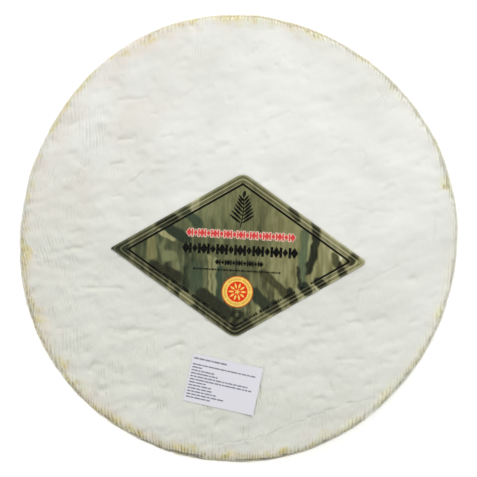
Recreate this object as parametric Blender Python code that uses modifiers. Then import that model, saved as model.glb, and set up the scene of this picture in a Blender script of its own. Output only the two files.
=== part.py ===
"""A whole wheel of soft white-rinded cheese in tight clear film, with its foil label and its paper sticker.

Metres, +Z up. The wheel lies on its flat underside. The origin is on the table, under the middle of the wheel,
and +Y is the way up of what is on the labels.
"""

import math

import bmesh
import bpy
from mathutils import Vector, noise

# The wheel, seen from above: a disc of this mean radius, a little oval and a little cornered.
MEAN_RADIUS = 0.18235
OVAL_SWELL, OVAL_CREST = 0.00219, math.radians(79)
THREE_CORNER_SWELL, THREE_CORNER_CREST = 0.00084, math.radians(-9)
FOUR_CORNER_SWELL, FOUR_CORNER_CREST = 0.00079, math.radians(21)
EDGE_WOBBLE, EDGE_WOBBLE_TURNS = 0.0007, 5.0

# The wheel, seen from the side: a round shoulder above the widest level, a tighter one below it.
THICKNESS = 0.0275
BELLY_HEIGHT = 0.0122
SHOULDER_INSET, SHOULDER_POWER = 0.0052, 2.5
FOOT_INSET, FOOT_POWER = 0.0080, 2.4
WALL_DENT, WALL_DENT_LENGTH = 0.0012, 0.034

# The soft relief of the face: slow swells, and the lumps of the curd under the rind.
SWELL_HEIGHT, SWELL_LENGTH = 0.0012, 0.095
LUMP_HEIGHT, LUMP_LENGTH = 0.0009, 0.027

# The mesh: cells across the face, and rings down each shoulder.
FACE_CELLS = 48
SHOULDER_RINGS = 5
FOOT_RINGS = 4

# The two labels lie this far clear of the wheel, and are this thick.
LABEL_GAP = 0.00035
LABEL_THICKNESS = 0.0003

# The foil label: a diamond. Each corner is rounded off from this far along its two sides.
FOIL_LONG, FOIL_SHORT = 0.2105, 0.1354
FOIL_MIDDLE = (0.0008, -0.0149)
FOIL_TURN = math.radians(-3.25)
FOIL_BLUNT_CORNERS = 0.0065
FOIL_LEFT_CORNER = 0.0016
FOIL_RIGHT_CORNER = 0.0050
FOIL_CELLS = 18
CORNER_STEPS = 4

# The paper sticker: a rectangle whose right-hand edge has come a little loose.
STICKER_WIDTH, STICKER_HEIGHT = 0.0585, 0.0393
STICKER_MIDDLE = (-0.0121, -0.1201)
STICKER_TURN = math.radians(-12.5)
STICKER_CELLS = (12, 8)
STICKER_LIFT, STICKER_LIFT_FROM = 0.0012, 0.55


def outline_radius(angle):
    """How far the widest level of the wheel is from its middle, in one direction."""
    wobble = noise.noise(
        Vector((math.cos(angle), math.sin(angle), 0.0)) * EDGE_WOBBLE_TURNS
    )
    return (
        MEAN_RADIUS
        + OVAL_SWELL * math.cos(2 * (angle - OVAL_CREST))
        + THREE_CORNER_SWELL * math.cos(3 * (angle - THREE_CORNER_CREST))
        + FOUR_CORNER_SWELL * math.cos(4 * (angle - FOUR_CORNER_CREST))
        + EDGE_WOBBLE * wobble
    )


def outline_middle(samples=720):
    """The middle of the outline's own box, which the model's origin lies under."""
    turns = [2 * math.pi * i / samples for i in range(samples)]
    across = [outline_radius(turn) * math.cos(turn) for turn in turns]
    along = [outline_radius(turn) * math.sin(turn) for turn in turns]
    return (
        (min(across) + max(across)) / 2,
        (min(along) + max(along)) / 2,
    )


def face_height(x, y):
    """The level of the wheel's face over a point of the table."""
    swell = noise.noise(Vector((x, y, 0.31)) / SWELL_LENGTH)
    lump = noise.noise(Vector((x, y, 0.17)) / LUMP_LENGTH)
    return THICKNESS + SWELL_HEIGHT * swell + LUMP_HEIGHT * lump


def disc_point(u, v):
    """Where a point of a square grid comes on a round plate: its share of the radius, and its direction."""
    if u == 0 and v == 0:
        return 0.0, 0.0
    if abs(u) >= abs(v):
        return u, math.pi / 4 * v / u
    return v, math.pi / 2 - math.pi / 4 * u / v


def shoulder_point(angle, share):
    """A point of the upper shoulder, whose share runs from 0 at the face to 1 at the widest level."""
    slope = math.pi / 2 * (1 - share)
    out = math.cos(slope) ** (2 / SHOULDER_POWER) if share > 0 else 0.0
    up = math.sin(slope) ** (2 / SHOULDER_POWER) if share < 1 else 0.0
    radius = outline_radius(angle) - SHOULDER_INSET * (1 - out)
    x = radius * math.cos(angle)
    y = radius * math.sin(angle)
    return x, y, BELLY_HEIGHT + (face_height(x, y) - BELLY_HEIGHT) * up


def foot_point(angle, share):
    """A point of the lower shoulder, whose share runs from 0 at the widest level to 1 at the table."""
    slope = math.pi / 2 * share
    out = math.cos(slope) ** (2 / FOOT_POWER) if share < 1 else 0.0
    down = math.sin(slope) ** (2 / FOOT_POWER)
    height = BELLY_HEIGHT * (1 - down)
    widest = outline_radius(angle)
    where = Vector((widest * math.cos(angle), widest * math.sin(angle), height))
    dent = WALL_DENT * max(0.0, noise.noise(where / WALL_DENT_LENGTH)) * share
    radius = widest - FOOT_INSET * (1 - out) - dent
    return radius * math.cos(angle), radius * math.sin(angle), height


def material(name, colour, roughness, metallic=0.0):
    """A plain Principled material."""
    made = bpy.data.materials.new(name)
    made.use_nodes = True
    shader = made.node_tree.nodes["Principled BSDF"]
    shader.inputs["Base Color"].default_value = (*colour, 1.0)
    shader.inputs["Roughness"].default_value = roughness
    shader.inputs["Metallic"].default_value = metallic
    return made


def piece(name, bm, collection, finish):
    """A smooth object from a bmesh, in its collection."""
    mesh = bpy.data.meshes.new(name)
    bm.to_mesh(mesh)
    bm.free()
    mesh.shade_smooth()
    mesh.materials.append(finish)
    made = bpy.data.objects.new(name, mesh)
    collection.objects.link(made)
    return made


def next_ring(bm, border, place):
    """Extrudes the open border by one ring, and moves the new ring's points to their place."""
    grown = bmesh.ops.extrude_edge_only(bm, edges=border)["geom"]
    for vert in grown:
        if isinstance(vert, bmesh.types.BMVert):
            vert.co = place(math.atan2(vert.co.y, vert.co.x))
    return [edge for edge in grown if isinstance(edge, bmesh.types.BMEdge)]


def make_wheel(collection, middle):
    """The face from a square grid, then ring after ring down the wall, and a flat underside."""
    bm = bmesh.new()
    bmesh.ops.create_grid(
        bm, x_segments=FACE_CELLS, y_segments=FACE_CELLS, size=1.0
    )
    for vert in bm.verts:
        share, angle = disc_point(vert.co.x, vert.co.y)
        facing = angle if share >= 0 else angle + math.pi
        radius = abs(share) * (outline_radius(facing) - SHOULDER_INSET)
        x = radius * math.cos(facing)
        y = radius * math.sin(facing)
        vert.co = (x, y, face_height(x, y))
    border = [edge for edge in bm.edges if edge.is_boundary]
    for ring in range(1, SHOULDER_RINGS + 1):
        share = ring / SHOULDER_RINGS
        border = next_ring(bm, border, lambda angle: shoulder_point(angle, share))
    for ring in range(1, FOOT_RINGS + 1):
        share = ring / FOOT_RINGS
        border = next_ring(bm, border, lambda angle: foot_point(angle, share))
    underside = bmesh.ops.contextual_create(bm, geom=border)["faces"]
    bmesh.ops.poke(bm, faces=underside)
    bmesh.ops.recalc_face_normals(bm, faces=bm.faces)
    bmesh.ops.translate(bm, verts=bm.verts, vec=(-middle[0], -middle[1], 0.0))
    rind = material("white rind", (0.78, 0.78, 0.72), 0.7)
    return piece("cheese_wheel", bm, collection, rind)


def lay_on_wheel(bm, middle, lift=lambda x, y: 0.0):
    """Lays a flat sheet over the relief of the face, and moves it with the wheel to the origin."""
    for vert in bm.verts:
        x, y, _ = vert.co
        vert.co.z = face_height(x, y) + LABEL_GAP + lift(x, y)
    bmesh.ops.translate(bm, verts=bm.verts, vec=(-middle[0], -middle[1], 0.0))


def thicken(label):
    """Gives a sheet its thickness, upwards from the side that faces the wheel."""
    solid = label.modifiers.new("thickness", "SOLIDIFY")
    solid.thickness = LABEL_THICKNESS
    solid.offset = 1.0


def turned(x, y, turn, middle):
    """A point of a label's own plan, turned and moved to its place on the wheel."""
    return (
        middle[0] + x * math.cos(turn) - y * math.sin(turn),
        middle[1] + x * math.sin(turn) + y * math.cos(turn),
    )


def make_foil_label(collection, middle):
    """A square grid pulled into a diamond, with its four corners rounded."""
    bm = bmesh.new()
    bmesh.ops.create_grid(
        bm, x_segments=FOIL_CELLS, y_segments=FOIL_CELLS, size=1.0
    )
    corners = []
    for vert in bm.verts:
        u, v, _ = vert.co
        if len(vert.link_faces) == 1:
            sharp = FOIL_LEFT_CORNER if u < v else FOIL_RIGHT_CORNER
            corners.append((vert, FOIL_BLUNT_CORNERS if u * v > 0 else sharp))
        x = (u - v) / 2 * FOIL_LONG / 2
        y = (u + v) / 2 * FOIL_SHORT / 2
        vert.co = (*turned(x, y, FOIL_TURN, FOIL_MIDDLE), 0.0)
    for corner, cut in corners:
        bmesh.ops.bevel(
            bm,
            geom=[corner],
            offset=cut,
            segments=CORNER_STEPS,
            profile=0.5,
            affect="VERTICES",
        )
    lay_on_wheel(bm, middle)
    foil = material("green foil paper", (0.24, 0.24, 0.12), 0.35, 0.6)
    label = piece("diamond_label", bm, collection, foil)
    thicken(label)
    return label


def make_sticker(collection, middle):
    """A rectangle of paper, lying on the film, with its right-hand edge lifted."""
    bm = bmesh.new()
    bmesh.ops.create_grid(
        bm, x_segments=STICKER_CELLS[0], y_segments=STICKER_CELLS[1], size=1.0
    )
    for vert in bm.verts:
        u, v, _ = vert.co
        x = u * STICKER_WIDTH / 2
        y = v * STICKER_HEIGHT / 2
        vert.co = (*turned(x, y, STICKER_TURN, STICKER_MIDDLE), 0.0)

    def lift(x, y):
        ahead = (x - STICKER_MIDDLE[0]) * math.cos(STICKER_TURN) + (
            y - STICKER_MIDDLE[1]
        ) * math.sin(STICKER_TURN)
        share = ahead / (STICKER_WIDTH / 2)
        loose = max(0.0, share - STICKER_LIFT_FROM) / (1 - STICKER_LIFT_FROM)
        return STICKER_LIFT * loose * loose

    lay_on_wheel(bm, middle, lift)
    paper = material("white sticker paper", (0.74, 0.74, 0.79), 0.5)
    sticker = piece("paper_sticker", bm, collection, paper)
    thicken(sticker)
    return sticker


def main():
    for old in list(bpy.data.objects):
        bpy.data.objects.remove(old, do_unlink=True)
    collection = bpy.data.collections.new("cheese wheel")
    bpy.context.scene.collection.children.link(collection)
    middle = outline_middle()
    make_wheel(collection, middle)
    make_foil_label(collection, middle)
    make_sticker(collection, middle)


main()
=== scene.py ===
# %% [markdown]
# # A wrapped wheel of soft white-rinded cheese
#
# This lesson dresses a wheel of ripened soft cheese, seen from straight above. The plain solid comes from a
# CAD model. Here it gets its mould-covered rind with the marks of the draining mats, the tight clear film
# round it, the green foil label and the small paper sticker. Every length is in metres, and +Z is up.

# %% The frame that everything is fitted to
import math
import random

import bmesh
import bpy
import numpy as np
from mathutils import Matrix, Vector, geometry, noise


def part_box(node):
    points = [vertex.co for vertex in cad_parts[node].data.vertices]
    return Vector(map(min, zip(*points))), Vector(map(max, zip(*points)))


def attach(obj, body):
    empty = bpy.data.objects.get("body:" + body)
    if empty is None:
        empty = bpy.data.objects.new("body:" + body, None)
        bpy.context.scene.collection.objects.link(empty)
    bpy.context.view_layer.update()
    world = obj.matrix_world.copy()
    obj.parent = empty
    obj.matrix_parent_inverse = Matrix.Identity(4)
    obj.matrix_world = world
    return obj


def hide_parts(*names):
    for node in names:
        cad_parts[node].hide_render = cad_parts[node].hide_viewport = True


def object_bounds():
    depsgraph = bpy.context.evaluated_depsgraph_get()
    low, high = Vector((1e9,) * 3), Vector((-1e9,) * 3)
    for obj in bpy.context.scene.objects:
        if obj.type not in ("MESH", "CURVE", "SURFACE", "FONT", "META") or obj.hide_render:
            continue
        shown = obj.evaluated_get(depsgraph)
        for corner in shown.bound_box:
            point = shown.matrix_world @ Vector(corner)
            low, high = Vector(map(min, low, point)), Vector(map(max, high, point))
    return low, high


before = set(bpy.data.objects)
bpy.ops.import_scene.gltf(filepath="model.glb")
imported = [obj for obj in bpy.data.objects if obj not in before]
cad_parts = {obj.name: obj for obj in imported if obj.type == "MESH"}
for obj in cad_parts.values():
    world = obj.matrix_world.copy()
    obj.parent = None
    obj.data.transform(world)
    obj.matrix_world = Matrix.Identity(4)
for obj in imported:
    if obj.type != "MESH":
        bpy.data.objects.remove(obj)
cad_low, cad_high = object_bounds()
wheel_low, wheel_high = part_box("cheese_wheel")
print("CAD box in mm:", [round(1000 * size, 1) for size in cad_high - cad_low])
print("the plain wheel in mm:", [round(1000 * size, 1) for size in wheel_high - wheel_low])

# %% [markdown]
# ## The camera
#
# The wheel is photographed from almost straight above, with a long lens, so its sides hardly show. Only a
# thin line of the lower wall does, which says that the camera leans back by about three degrees. One pixel
# of the picture is 0.82 mm on the wheel, and the wheel's middle is a pixel or two off the middle of the
# picture.

# %% The camera
PICTURE_PIXELS = 477
PIXEL = 0.0008216
WHEEL_MIDDLE_PIXEL = (238.9, 237.5)
CAMERA_LEAN = math.radians(3.0)
CAMERA_DISTANCE = 2.4
SENSOR_WIDTH = 36.0
scene = bpy.context.scene


def placed(name, data):
    """A new object with this data, in the scene."""
    made = bpy.data.objects.new(name, data)
    scene.collection.objects.link(made)
    return made


camera_data = bpy.data.cameras.new("camera")
camera_data.sensor_width = SENSOR_WIDTH
camera_data.lens = SENSOR_WIDTH * CAMERA_DISTANCE / (PICTURE_PIXELS * PIXEL)
camera_data.clip_start = 0.1
camera_data.clip_end = 20.0
camera_data.shift_x = (PICTURE_PIXELS / 2 - WHEEL_MIDDLE_PIXEL[0]) / PICTURE_PIXELS
camera_data.shift_y = (WHEEL_MIDDLE_PIXEL[1] - PICTURE_PIXELS / 2) / PICTURE_PIXELS
camera = placed("camera", camera_data)
aim = Vector((0.0, 0.0, (cad_high.z + cad_low.z) / 2))
towards_camera = Vector((0.0, -math.sin(CAMERA_LEAN), math.cos(CAMERA_LEAN)))
camera.location = aim + CAMERA_DISTANCE * towards_camera
camera.rotation_euler = (CAMERA_LEAN, 0.0, 0.0)
scene.camera = camera
print("lens in mm:", round(camera_data.lens, 1))

# %% [markdown]
# ## Writing node trees as sums
#
# Materials and geometry both come from node trees. Three small classes keep them readable. `Nodes` adds a
# node: its type, what goes into its sockets, and its settings. `Link` is one output of a node, and it can
# stand in an ordinary sum, so `1 - mask * 0.5` adds the Math nodes that it needs. `Finish` is the tree of a
# material.

# %% A node tree as Python expressions
class Link:
    """One output socket of a node, which can stand in a sum of numbers."""

    def __init__(self, nodes, socket):
        self.nodes = nodes
        self.socket = socket

    def at(self, name):
        """Another output of the same node."""
        return Link(self.nodes, self.socket.node.outputs[name])

    def __abs__(self):
        return self.nodes.math("ABSOLUTE", self)


def as_method(operation, turned=False):
    """A Math node as one of Python's operators, which is turned round where the link stands on the right."""

    def method(self, other):
        return self.nodes.math(operation, *((other, self) if turned else (self, other)))

    return method


OPERATORS = {"add": "ADD", "sub": "SUBTRACT", "mul": "MULTIPLY", "truediv": "DIVIDE"}
for name, operation in OPERATORS.items():
    setattr(Link, f"__{name}__", as_method(operation))
    setattr(Link, f"__r{name}__", as_method(operation, turned=True))
for name, operation in {"pow": "POWER", "gt": "GREATER_THAN"}.items():
    setattr(Link, f"__{name}__", as_method(operation))


class Nodes:
    """A node tree that is built by calls."""

    def __init__(self, tree):
        self.tree = tree

    def add(self, kind, sockets=None, settings=None, output=0):
        """Adds a node, fills its sockets by name or number, sets it, and gives one of its outputs."""
        node = self.tree.nodes.new(kind)
        for name, value in (settings or {}).items():
            setattr(node, name, value)
        for name, value in (sockets or {}).items():
            if isinstance(value, Link):
                self.tree.links.new(value.socket, node.inputs[name])
            else:
                node.inputs[name].default_value = value
        return Link(self, node.outputs[output]) if len(node.outputs) else None

    def math(self, operation, *values):
        """Adds a Math node."""
        return self.add("ShaderNodeMath", dict(enumerate(values)), {"operation": operation})

    def parts(self, vector):
        """The three numbers of a vector."""
        split = self.add("ShaderNodeSeparateXYZ", {0: vector})
        return [split.at(axis) for axis in "XYZ"]

    def joined(self, *numbers):
        """A vector of up to three numbers."""
        return self.add("ShaderNodeCombineXYZ", dict(enumerate(numbers)))

    def stretched(self, vector, factors):
        """A vector times another one, part by part."""
        return self.add("ShaderNodeVectorMath", {0: vector, 1: factors}, {"operation": "MULTIPLY"})

    def ease(self, value, start, end):
        """0 where value is at start, 1 where it is at end, and a soft S between."""
        sockets = {"Value": value, "From Min": start, "From Max": end}
        return self.add("ShaderNodeMapRange", sockets, {"interpolation_type": "SMOOTHSTEP"})

    def mix(self, factor, low, high):
        """A colour between two colours."""
        return self.add("ShaderNodeMix", {0: factor, 6: low, 7: high}, {"data_type": "RGBA"}, 2)

    def noise(self, where, size, seed=0.0, detail=2.0, roughness=0.5):
        """Soft noise from 0 to 1, whose lumps are about size across."""
        sockets = {"Vector": where, "W": seed, "Scale": 1 / size, "Detail": detail, "Roughness": roughness}
        return self.add("ShaderNodeTexNoise", sockets, {"noise_dimensions": "4D"})


class Finish(Nodes):
    """A material that is built by calls."""

    def __init__(self, name):
        self.material = bpy.data.materials.new(name)
        self.material.use_nodes = True
        self.material.node_tree.nodes.clear()
        super().__init__(self.material.node_tree)

    def place(self):
        """The place of a point on its piece."""
        return self.add("ShaderNodeTexCoord").at("Object")

    def noted(self, name):
        """A number that is written on the mesh's points."""
        return self.add("ShaderNodeAttribute", None, {"attribute_name": name}).at("Fac")

    def bump(self, height, strength, distance):
        """Unevenness too small for the mesh."""
        return self.add("ShaderNodeBump", {"Strength": strength, "Distance": distance, "Height": height})

    def end(self, shader):
        """Gives the surface its shader, and hands over the material."""
        self.add("ShaderNodeOutputMaterial", {"Surface": shader})
        return self.material

    def principled(self, sockets):
        """Ends the material in the Principled shader."""
        return self.end(self.add("ShaderNodeBsdfPrincipled", sockets))


def colour(red, green, blue):
    """A colour as a picture states it, 0 to 255, made linear for a socket."""
    return tuple(
        value / 255 / 12.92 if value <= 10 else ((value / 255 + 0.055) / 1.055) ** 2.4
        for value in (red, green, blue)
    ) + (1.0,)


print("a picture's mid grey is", round(colour(128, 128, 128)[0], 3), "in linear light")

# %% [markdown]
# ## Floor and light
#
# The photograph has a pure white ground and no shadow to speak of. A pale floor under broad soft lights
# comes close. The main light stands beyond the far rim, a little to the right and fairly low, so that it
# grazes the rind and its marks show. The Standard view transform keeps white things white.

# %% The lights
SKY_STRENGTH = 0.535
scene.view_settings.view_transform = "Standard"
scene.view_settings.look = "None"
world = bpy.data.worlds.new("studio")
world.use_nodes = True
world.node_tree.nodes["Background"].inputs["Color"].default_value = (0.97, 0.985, 1.0, 1.0)
world.node_tree.nodes["Background"].inputs["Strength"].default_value = SKY_STRENGTH
scene.world = world


def soft_light(name, place, size, power, tint=(1.0, 1.0, 1.0)):
    """A square area light that looks at the wheel."""
    data = bpy.data.lights.new(name, "AREA")
    data.size = size
    data.energy = power
    data.color = tint
    light = placed(name, data)
    light.location = place
    light.rotation_euler = (Vector(place) - aim).to_track_quat("Z", "Y").to_euler()


soft_light("main_light", (0.50, 1.12, 0.90), 1.0, 16.1, (1.0, 0.985, 0.96))
soft_light("fill_light", (-1.3, -0.6, 1.5), 1.6, 10.2)

# %% The floor
FLOOR_SIZE = 12.0
FLOOR_GLOW = 0.44
floor_mesh = bmesh.new()
bmesh.ops.create_grid(floor_mesh, x_segments=1, y_segments=1, size=FLOOR_SIZE / 2)
floor_data = bpy.data.meshes.new("floor")
floor_mesh.to_mesh(floor_data)
floor_mesh.free()
glow = {"Emission Color": (1.0, 1.0, 1.0, 1.0), "Emission Strength": FLOOR_GLOW}
pale = {"Base Color": colour(250, 250, 250), "Roughness": 0.9}
floor_data.materials.append(Finish("pale floor").principled({**pale, **glow}))
placed("floor", floor_data)
print("the floor is", FLOOR_SIZE, "m wide")

# %% [markdown]
# ## The wheel's form
#
# The wheel is a turned disc that a real ripening room has made a little oval and a little cornered. The
# outline is a mean radius and three waves round it. The face has slow swells and the lumps of the curd
# under the rind. The wall bulges: a steep round shoulder above the widest level, and a wider one where the
# weight presses it to the shelf. These are the same rules and sizes as in the solid model, so the new skin
# lies where the solid's does.

# %% The rules of the form
MEAN_RADIUS = 0.18235
# Each wave has a number of crests, their height, and the direction of the first one in degrees.
OUTLINE_WAVES = ((2, 0.00219, 79), (3, 0.00084, -9), (4, 0.00079, 21))
EDGE_WOBBLE, EDGE_WOBBLE_TURNS = 0.0007, 5.0
THICKNESS = 0.0275
BELLY_HEIGHT = 0.0122
SHOULDER_INSET, SHOULDER_POWER = 0.0052, 2.5
FOOT_INSET, FOOT_POWER = 0.0080, 2.4
WALL_DENT, WALL_DENT_LENGTH = 0.0012, 0.034
SWELL_HEIGHT, SWELL_LENGTH = 0.0012, 0.095
LUMP_HEIGHT, LUMP_LENGTH = 0.0009, 0.027


def facing(turn):
    """The direction that is turned this far from the long way of a plan."""
    return Vector((math.cos(turn), math.sin(turn)))


def even_turns(count):
    """Directions that are evenly spaced round a circle."""
    return [2 * math.pi * i / count for i in range(count)]


def outline_radius(angle):
    """How far the widest level of the wheel is from its middle, in one direction."""
    radius = MEAN_RADIUS
    for crests, height, first in OUTLINE_WAVES:
        radius += height * math.cos(crests * (angle - math.radians(first)))
    wobble = noise.noise(Vector((math.cos(angle), math.sin(angle), 0.0)) * EDGE_WOBBLE_TURNS)
    return radius + EDGE_WOBBLE * wobble


def inset_at(x, y):
    """How far a point of the wheel is inside the outline."""
    return outline_radius(math.atan2(y, x)) - math.hypot(x, y)


def outline_middle(samples=720):
    """The middle of the outline's own box, which lies over the model's origin."""
    turns = even_turns(samples)
    across = [outline_radius(turn) * math.cos(turn) for turn in turns]
    along = [outline_radius(turn) * math.sin(turn) for turn in turns]
    return Vector(((min(across) + max(across)) / 2, (min(along) + max(along)) / 2, 0.0))


def face_height(x, y):
    """The level of the wheel's face over a point of the table."""
    swell = noise.noise(Vector((x, y, 0.31)) / SWELL_LENGTH)
    lump = noise.noise(Vector((x, y, 0.17)) / LUMP_LENGTH)
    return THICKNESS + SWELL_HEIGHT * swell + LUMP_HEIGHT * lump


def top_level(x, y):
    """The level of the face, or of the shoulder where the point is near the rim."""
    out = 1 - min(max(inset_at(x, y), 0.0) / SHOULDER_INSET, 1.0)
    up = (1 - out**SHOULDER_POWER) ** (1 / SHOULDER_POWER)
    return BELLY_HEIGHT + (face_height(x, y) - BELLY_HEIGHT) * up


def shoulder_point(angle, share):
    """A point of the upper shoulder, whose share runs from 0 at the face to 1 at the widest level."""
    slope = math.pi / 2 * (1 - share)
    out = math.cos(slope) ** (2 / SHOULDER_POWER)
    up = math.sin(slope) ** (2 / SHOULDER_POWER)
    radius = outline_radius(angle) - SHOULDER_INSET * (1 - out)
    x, y = radius * math.cos(angle), radius * math.sin(angle)
    return Vector((x, y, BELLY_HEIGHT + (face_height(x, y) - BELLY_HEIGHT) * up))


def foot_point(angle, share):
    """A point of the lower shoulder, whose share runs from 0 at the widest level to 1 at the table."""
    slope = math.pi / 2 * share
    out = max(math.cos(slope), 0.0) ** (2 / FOOT_POWER)
    height = BELLY_HEIGHT * (1 - math.sin(slope) ** (2 / FOOT_POWER))
    widest = outline_radius(angle)
    where = Vector((widest * math.cos(angle), widest * math.sin(angle), height))
    dent = WALL_DENT * max(0.0, noise.noise(where / WALL_DENT_LENGTH)) * share
    radius = widest - FOOT_INSET * (1 - out) - dent
    return Vector((radius * math.cos(angle), radius * math.sin(angle), height))


form_middle = outline_middle()
print("the outline's middle is", [round(1000 * value, 2) for value in form_middle], "mm off")

# %% [markdown]
# ## A skin of the right grain
#
# A wheel drains and ripens on mats of thin rods, which press fine parallel ridges into its face, up and
# down the picture. The skin has to carry them. A square mesh fine enough for them would be far too heavy,
# so the points are laid in columns that follow the rods, four columns to a ridge, with longer steps along
# them. Where the label lies and near the middle, where mould has grown over the ridges, some columns are
# left out. Creases get rows of points of their own. A Delaunay triangulation joins them all to the rim, and
# the wall is ring after ring below it.

# %% Where the rods of the mat lay
RIDGE_PITCH = 0.0027
COLUMNS_A_RIDGE = 4
DRIFT_LENGTH, DRIFT_REACH = 0.060, 0.012


def mat_drift(x, y):
    """How far the rods wander from straight lines."""
    return DRIFT_REACH * noise.noise(Vector((x, y, 0.047)) / DRIFT_LENGTH)


def column_place(turns, y):
    """Where the column with this many ridges to it crosses a row."""
    x = turns * RIDGE_PITCH
    for _ in range(5):
        x = turns * RIDGE_PITCH - mat_drift(x, y)
    return x


print("a column is", 1000 * RIDGE_PITCH / COLUMNS_A_RIDGE, "mm wide")

# %% The labels' plans, which the skins need too
FOIL_LONG, FOIL_SHORT = 0.2105, 0.1354
FOIL_MIDDLE, FOIL_TURN = Vector((0.0008, -0.0149)), math.radians(-3.25)
FOIL_BLUNT_CORNERS, FOIL_LEFT_CORNER, FOIL_RIGHT_CORNER = 0.0065, 0.0016, 0.0050
STICKER_WIDTH, STICKER_HEIGHT = 0.0585, 0.0393
STICKER_MIDDLE, STICKER_TURN = Vector((-0.0121, -0.1201)), math.radians(-12.5)
LABEL_GAP, LABEL_THICKNESS = 0.00035, 0.0003


def to_plan(x, y, middle, turn):
    """A point of the wheel in the plan of a label: along it, and up it."""
    x, y = x - middle[0], y - middle[1]
    return x * math.cos(turn) + y * math.sin(turn), y * math.cos(turn) - x * math.sin(turn)


def from_plan(u, v, middle, turn):
    """A point of a label's plan, on the wheel."""
    x = middle[0] + u * math.cos(turn) - v * math.sin(turn)
    return x, middle[1] + u * math.sin(turn) + v * math.cos(turn)


def outside_foil(x, y):
    """How far a point of the wheel is outside the foil label. It is negative on the label."""
    u, v = to_plan(x, y, FOIL_MIDDLE, FOIL_TURN)
    long, short = FOIL_LONG / 2, FOIL_SHORT / 2
    return (abs(u) * short + abs(v) * long - long * short) / math.hypot(long, short)


def outside_labels(x, y):
    """How far a point of the wheel is outside both labels."""
    u, v = to_plan(x, y, STICKER_MIDDLE, STICKER_TURN)
    outside_sticker = max(abs(u) - STICKER_WIDTH / 2, abs(v) - STICKER_HEIGHT / 2)
    return min(outside_sticker, outside_foil(x, y))


print("the label is", round(-1000 * outside_foil(*FOIL_MIDDLE), 1), "mm deep at its middle")

# %% Lines that have points of their own in a mesh
LINE_STEP = 0.0010
LINE_SOFTNESS = 1.25
RAGGED_LENGTH, RAGGED_REACH, RAGGED_HEIGHT = 9, 1.3, 0.6
# Vector noise is drawn with a seed, and with the clock's time where none is set.
NOISE_SEED = 1795668298
noise.seed_set(NOISE_SEED)


def line_points(lines, shares):
    """The points that a mesh needs for its lines: rows at these shares of each line's width."""
    for *path, width, _ in lines:
        for start, end in zip(path, path[1:]):
            start, end = Vector(start) / 1000, Vector(end) / 1000
            way = (end - start).normalized()
            across = Vector((-way.y, way.x))
            for i in range(max(1, round((end - start).length / LINE_STEP))):
                for share in shares:
                    place = start + way * LINE_STEP * i + across * (share * width / 1000)
                    yield tuple(place + form_middle.to_2d())


def away_from(places, start, end):
    """How far each place is from the line between two points."""
    start, way = np.array(start, float), np.subtract(end, start).astype(float)
    share = np.clip((places - start) @ way / (way @ way), 0, 1)
    return np.linalg.norm(places - start - share[:, None] * way, axis=1)


def wander(flat, length, level):
    """Soft random vectors, one for each flat place, which change over about this length."""
    return np.array([noise.noise_vector(Vector((*place / length, level))) for place in flat])


def line_heights(points, lines):
    """How much each point is raised by the lines: a line's height on it, and nothing a width away."""
    flat = points[:, :2] * 1000
    ragged = wander(flat, RAGGED_LENGTH, 0.7)
    flat = flat + RAGGED_REACH * ragged[:, :2]
    heights = np.zeros(len(flat))
    for *path, width, height in lines:
        for start, end in zip(path, path[1:]):
            inside = np.clip(1 - away_from(flat, start, end) / (LINE_SOFTNESS * width), 0, 1)
            heights = np.maximum(heights, height * inside * inside * (3 - 2 * inside))
    return heights * (1 + RAGGED_HEIGHT * ragged[:, 2])


print("a line has a point every", 1000 * LINE_STEP, "mm")

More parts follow.
